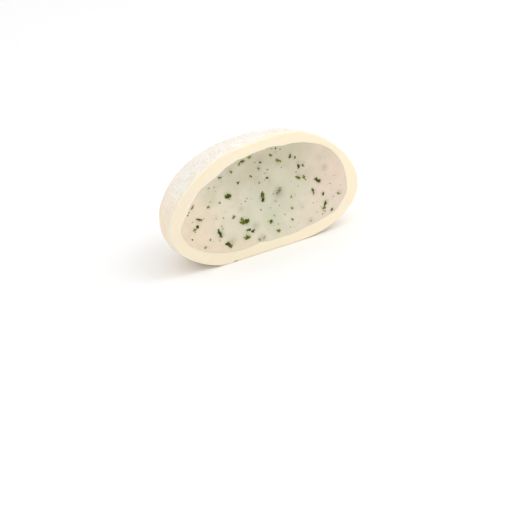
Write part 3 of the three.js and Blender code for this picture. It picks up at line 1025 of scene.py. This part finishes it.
class RICECAKE_OT_starch(bpy.types.Operator):
    """Dusts the outside with loose grains and clumps of starch"""

    bl_idname = "rice_cake.starch"
    bl_label = "Starch Dust"

    def execute(self, context):
        settings = context.scene.rice_cake_starch
        dough = bpy.data.objects.get("dough")
        if dough is None:
            raise RuntimeError("The dough comes before its dust")
        rng = np.random.default_rng(settings.seed)
        mesh = dough.data
        centres = gather(mesh.polygons, "center", 3)
        normals = gather(mesh.polygons, "normal", 3)
        weight = self.weight(mesh, centres)
        chosen = rng.choice(len(centres), settings.grains, p=weight / weight.sum())
        deselect()
        bpy.ops.mesh.primitive_ico_sphere_add(subdivisions=1, radius=0.5)
        grain = context.object
        shape = coordinates(grain.data)
        triangles = np.array([face.vertices[:] for face in grain.data.polygons])
        bpy.data.objects.remove(grain)
        size = settings.size * rng.lognormal(0.0, SIZE_SPREAD, settings.grains)
        stretch = rng.uniform(0.6, 1.3, (settings.grains, 3))
        rough = 1 + GRAIN_ROUGHNESS * rng.standard_normal((settings.grains, len(shape), 1))
        points = shape[None] * rough * stretch[:, None] * size[:, None, None]
        out = normals[chosen]
        height = np.einsum("nij,nj->ni", points, out)
        points -= GRAIN_FLATNESS * height[..., None] * out[:, None]
        points += (centres[chosen] + out * (GRAIN_LIFT * size)[:, None])[:, None]
        points[..., 2] = np.maximum(points[..., 2], 0.01 * MM)
        index = triangles[None] + (np.arange(settings.grains) * len(shape))[:, None, None]
        dust = bpy.data.meshes.new("starch_dust")
        dust.from_pydata(points.reshape(-1, 3).tolist(), [], index.reshape(-1, 3).tolist())
        piece = bpy.data.objects.new("starch_dust", dust)
        context.collection.objects.link(piece)
        complete(piece, starch_material(context.scene.rice_cake_dough), 80)
        return {"FINISHED"}

    def weight(self, mesh, centres):
        """How likely each face is to hold a grain: in patches, where the dusting is thick."""
        areas = gather(mesh.polygons, "area")
        first = gather(mesh.polygons, "loop_start", kind=np.int32)
        corner = gather(mesh.loops, "vertex_index", kind=np.int32)
        dusting = gather(mesh.attributes["dusting"].data, "value", kind=np.float32)
        cover = dusting[corner[first]]
        patchy = smoothstep(noise_at(centres, 4 * MM, 3, 9.0), -0.35, 0.5)
        return areas * cover**2 * (0.15 + patchy) * (centres[:, 2] > 0.4 * MM)


# ---- the stage

FRAME_PIXELS = 512
FOCUS_PIXEL = (265, 195)  # where the middle of the cut lies in the frame
FOCUS = Vector((-0.05 * MM, CUT_Y, 13.24 * MM))
SENSOR = 36.0
FOCAL_LENGTH = 134.5
NEAR = 0.01  # the nearest that the camera sees
FLOOR_SIZE = 6
SOFTBOX_PLACE = (0.22, -0.2, 0.34)
SOFTBOX_SIZE = 0.35


class RICECAKE_OT_stage(bpy.types.Operator):
    """Sets up the floor, the soft light and the camera"""

    bl_idname = "rice_cake.stage"
    bl_label = "Floor, Light and Camera"

    def execute(self, context):
        studio = context.scene.rice_cake_studio
        self.add_floor(context, studio)
        self.add_light(context, studio)
        self.add_camera(context, studio)
        context.scene.view_settings.view_transform = "Standard"
        return {"FINISHED"}

    def add_floor(self, context, studio):
        deselect()
        bpy.ops.mesh.primitive_plane_add(size=FLOOR_SIZE)
        floor = context.object
        floor.name = "floor"
        finish = Finish("pale_floor")
        finish.set(base_color=studio.floor_colour, roughness=0.6)
        floor.data.materials.append(finish.material)

    def add_light(self, context, studio):
        world = bpy.data.worlds.new("soft_sky")
        world.use_nodes = True
        background = world.node_tree.nodes["Background"]
        background.inputs["Color"].default_value = (1.0, 1.0, 1.0, 1.0)
        background.inputs["Strength"].default_value = studio.sky
        context.scene.world = world
        lamp = bpy.data.lights.new("key_softbox", "AREA")
        lamp.shape = "DISK"
        lamp.size = SOFTBOX_SIZE
        lamp.energy = studio.key
        light = bpy.data.objects.new("key_softbox", lamp)
        light.location = SOFTBOX_PLACE
        light.rotation_mode = "QUATERNION"
        light.rotation_quaternion = (FOCUS - light.location).to_track_quat("-Z", "Y")
        context.collection.objects.link(light)

    def add_camera(self, context, studio):
        data = bpy.data.cameras.new("camera")
        data.sensor_width = SENSOR
        data.lens = FOCAL_LENGTH
        data.clip_start = NEAR
        camera = bpy.data.objects.new("camera", data)
        context.collection.objects.link(camera)
        azimuth, elevation = studio.azimuth, studio.elevation
        level = math.cos(elevation)
        back = Vector((math.sin(azimuth) * level, -math.cos(azimuth) * level, math.sin(elevation)))
        camera.location = FOCUS + back * studio.distance
        aim = (-back).to_track_quat("-Z", "Y")
        lean = Matrix.Rotation(-studio.roll, 3, "Z").to_quaternion()
        half = FRAME_PIXELS / 2
        pixels = FRAME_PIXELS * FOCAL_LENGTH / SENSOR
        across, down = FOCUS_PIXEL[0] - half, FOCUS_PIXEL[1] - half
        seen = Vector((across / pixels, -down / pixels, -1)).normalized()
        shift = seen.rotation_difference(Vector((0, 0, -1)))
        camera.rotation_mode = "QUATERNION"
        camera.rotation_quaternion = aim @ lean @ shift
        context.scene.camera = camera


class VIEW3D_PT_rice_cake(bpy.types.Panel):
    """Lists the steps that build the rice cake"""

    bl_label = "Rice Cake"
    bl_space_type = "VIEW_3D"
    bl_region_type = "UI"
    bl_category = "Rice Cake"

    def draw(self, context):
        for operator in STEPS:
            self.layout.operator(operator.bl_idname)


GROUPS = {
    "rice_cake_dough": RiceCakeDough,
    "rice_cake_filling": RiceCakeFilling,
    "rice_cake_flecks": RiceCakeFlecks,
    "rice_cake_starch": RiceCakeStarch,
    "rice_cake_studio": RiceCakeStudio,
}
STEPS = (RICECAKE_OT_stage, RICECAKE_OT_dough, RICECAKE_OT_filling, RICECAKE_OT_flecks, RICECAKE_OT_starch)


CLASSES = (*GROUPS.values(), *STEPS, VIEW3D_PT_rice_cake)


def register():
    for item in CLASSES:
        bpy.utils.register_class(item)
    for name, group in GROUPS.items():
        setattr(bpy.types.Scene, name, bpy.props.PointerProperty(type=group))


def unregister():
    for name in GROUPS:
        delattr(bpy.types.Scene, name)
    for item in reversed(CLASSES):
        bpy.utils.unregister_class(item)


def main():
    register()
    bpy.ops.rice_cake.stage()
    bpy.ops.rice_cake.dough()
    bpy.ops.rice_cake.filling()
    bpy.ops.rice_cake.flecks()
    bpy.ops.rice_cake.starch()


if __name__ == "__main__":
    main()
